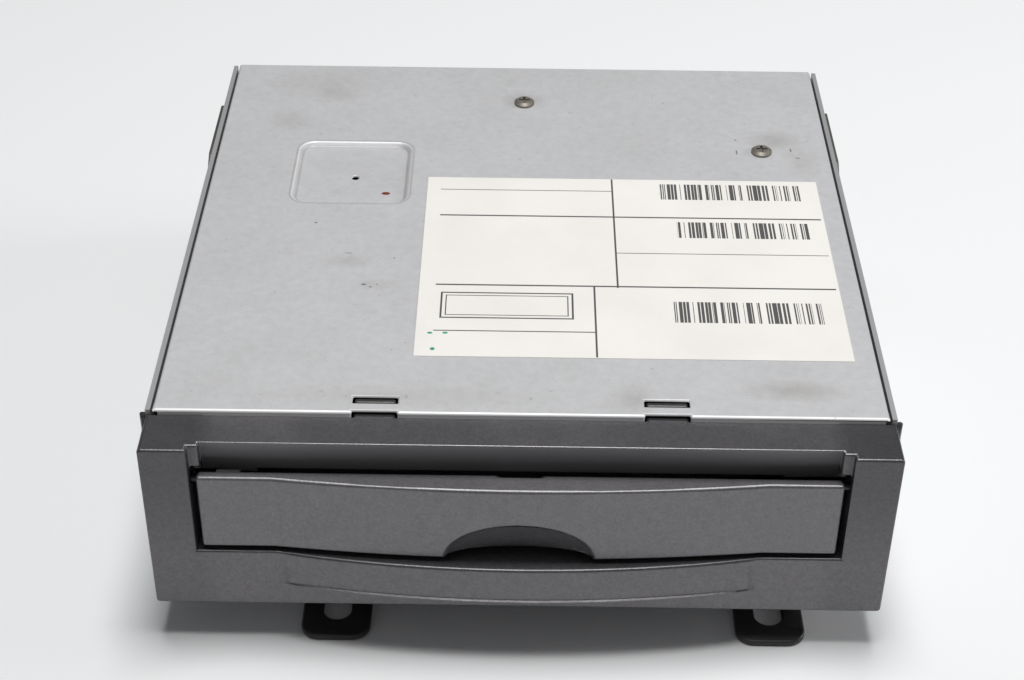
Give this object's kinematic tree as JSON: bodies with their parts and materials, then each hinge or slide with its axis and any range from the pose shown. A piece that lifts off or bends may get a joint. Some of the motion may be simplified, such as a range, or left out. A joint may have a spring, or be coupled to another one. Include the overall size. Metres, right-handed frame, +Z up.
{
  "type": "car navigation disc reader",
  "caption": "Flat sheet-metal disc reader for a car, with a moulded front, a bowed drop flap with a finger scoop over the disc slot, and a black bracket with slotted feet.",
  "frame": {"origin": "middle of the bounding box at the height of the feet's undersides", "axes": "+X to the right seen from the front, +Y from the front to the rear, +Z up"},
  "size_m": [0.1852, 0.1972, 0.062],
  "materials": {
    "cover_steel": "satin galvanised sheet",
    "label_paper": "matt coated paper",
    "front_plastic": "fine grain grey moulding",
    "flap_plastic": "fine grain grey moulding",
    "bracket_paint": "satin black",
    "screw_zinc": "zinc plated",
    "frame_steel": "zinc plated sheet",
    "rod_steel": "ground",
    "motor_can": "nickel plated",
    "spring_steel": "drawn wire",
    "black_plastic": "moulded",
    "white_plastic": "natural acetal",
    "pinion_brass": "cut",
    "roller_rubber": "soft",
    "dust_felt": "felt",
    "lens_carrier_plastic": "moulded",
    "lens_glass": "coated",
    "board_green": "solder mask",
    "chip_black": "moulded",
    "shield_tin": "tin plated",
    "capacitor_can": "satin",
    "socket_nickel": "nickel plated"
  },
  "bodies": {
    "casing": {"top_cover": "cover_steel", "chassis_tray": "cover_steel", "front_panel": "cover_steel", "rear_panel": "cover_steel", "paper_label": "label_paper", "front_bezel": "front_plastic", "mounting_bracket": "bracket_paint", "cover_screws": "screw_zinc", "wing_screws": "screw_zinc", "bracket_screws": "screw_zinc", "board_screws": "screw_zinc", "frame_screws": "screw_zinc", "loader_frame": "frame_steel", "traverse_plate": "frame_steel", "hinge_brackets": "frame_steel", "frame_standoffs": "frame_steel", "cover_posts": "frame_steel", "guide_rods": "rod_steel", "idler_stud": "rod_steel", "lever_studs": "rod_steel", "clamp_hinge_pin": "rod_steel", "feed_motor": "motor_can", "sled_motor": "motor_can", "spindle_motor": "motor_can", "flap_spring": "spring_steel", "clamp_spring": "spring_steel", "disc_guide": "black_plastic", "rod_holders": "black_plastic", "eject_switch": "black_plastic", "power_socket": "black_plastic", "roller_bushes": "white_plastic", "data_socket": "white_plastic", "dampers": "roller_rubber", "dust_felts": "dust_felt", "main_board": "board_green", "button_board": "board_green", "processor": "chip_black", "memory_chips": "chip_black", "tuner_shield": "shield_tin", "capacitors": "capacitor_can", "antenna_socket": "socket_nickel"},
    "flap": {"front_flap": "flap_plastic", "flap_pins": "rod_steel"},
    "eject": {"eject_button": "front_plastic"},
    "roller": {"roller_shaft": "rod_steel", "feed_rollers": "roller_rubber", "roller_gear": "white_plastic"},
    "idler": {"idler_gear": "white_plastic"},
    "pinion": {"motor_pinion": "pinion_brass", "motor_shaft": "rod_steel"},
    "spindle": {"turntable": "black_plastic", "spindle_shaft": "rod_steel"},
    "arm": {"clamp_arm": "frame_steel"},
    "clamp": {"disc_clamp": "black_plastic"},
    "sled": {"pickup_sled": "black_plastic", "lens_carrier": "lens_carrier_plastic", "objective_lens": "lens_glass"},
    "sled_screw": {"lead_screw": "rod_steel"},
    "lever_left": {"left_lever": "white_plastic"},
    "lever_right": {"right_lever": "white_plastic"}
  },
  "joints": [
    {"name": "flap_hinge", "type": "hinge", "parent": "casing", "child": "flap", "pos_m": [0, -0.08887, 0.0485], "axis": [-1, 0, 0], "range_deg": [0, 90], "stiffness_Nm_per_rad": 0.0012, "springref_deg": -20.05},
    {"name": "eject_press", "type": "slide", "parent": "casing", "child": "eject", "axis": [0, 1, 0], "range_m": [0, 0.0008], "stiffness_N_per_m": 300, "springref_m": -0.001},
    {"name": "roller_spin", "type": "hinge", "parent": "casing", "child": "roller", "pos_m": [0, -0.06797, 0.0408], "axis": [1, 0, 0], "continuous": true},
    {"name": "idler_spin", "type": "hinge", "parent": "casing", "child": "idler", "pos_m": [0, -0.05298, 0.0408], "axis": [1, 0, 0], "continuous": true},
    {"name": "pinion_spin", "type": "hinge", "parent": "casing", "child": "pinion", "pos_m": [0, -0.04386, 0.033], "axis": [1, 0, 0], "continuous": true},
    {"name": "spindle_spin", "type": "hinge", "parent": "casing", "child": "spindle", "pos_m": [0, -0.00248, 0.036], "axis": [0, 0, 1], "continuous": true},
    {"name": "arm_hinge", "type": "hinge", "parent": "casing", "child": "arm", "pos_m": [0, 0.06053, 0.052], "axis": [1, 0, 0], "range_deg": [0, 2.8], "stiffness_Nm_per_rad": 0.05, "springref_deg": -45.84},
    {"name": "clamp_spin", "type": "hinge", "parent": "arm", "child": "clamp", "pos_m": [0, -0.00248, 0.05], "axis": [0, 0, 1], "continuous": true},
    {"name": "sled_slide", "type": "slide", "parent": "casing", "child": "sled", "axis": [0, 1, 0], "range_m": [0, 0.034]},
    {"name": "screw_spin", "type": "hinge", "parent": "casing", "child": "sled_screw", "pos_m": [0.038, 0.02753, 0.036], "axis": [0, 1, 0], "range_deg": [0, 4081]},
    {"name": "left_lever_swing", "type": "hinge", "parent": "casing", "child": "lever_left", "pos_m": [-0.046, -0.02647, 0.052], "axis": [0, 0, -1], "range_deg": [0, 15], "stiffness_Nm_per_rad": 0.0005, "springref_deg": -22.92},
    {"name": "right_lever_swing", "type": "hinge", "parent": "casing", "child": "lever_right", "pos_m": [0.046, -0.02647, 0.052], "axis": [0, 0, 1], "range_deg": [0, 15], "stiffness_Nm_per_rad": 0.0005, "springref_deg": -22.92}
  ],
  "couplings": [
    {"joint": "idler_spin", "follows": "roller_spin", "ratio": -0.66667},
    {"joint": "pinion_spin", "follows": "roller_spin", "ratio": 2},
    {"joint": "screw_spin", "follows": "sled_slide", "rad_per_m": 2094.4},
    {"joint": "right_lever_swing", "follows": "left_lever_swing", "ratio": 1}
  ]
}
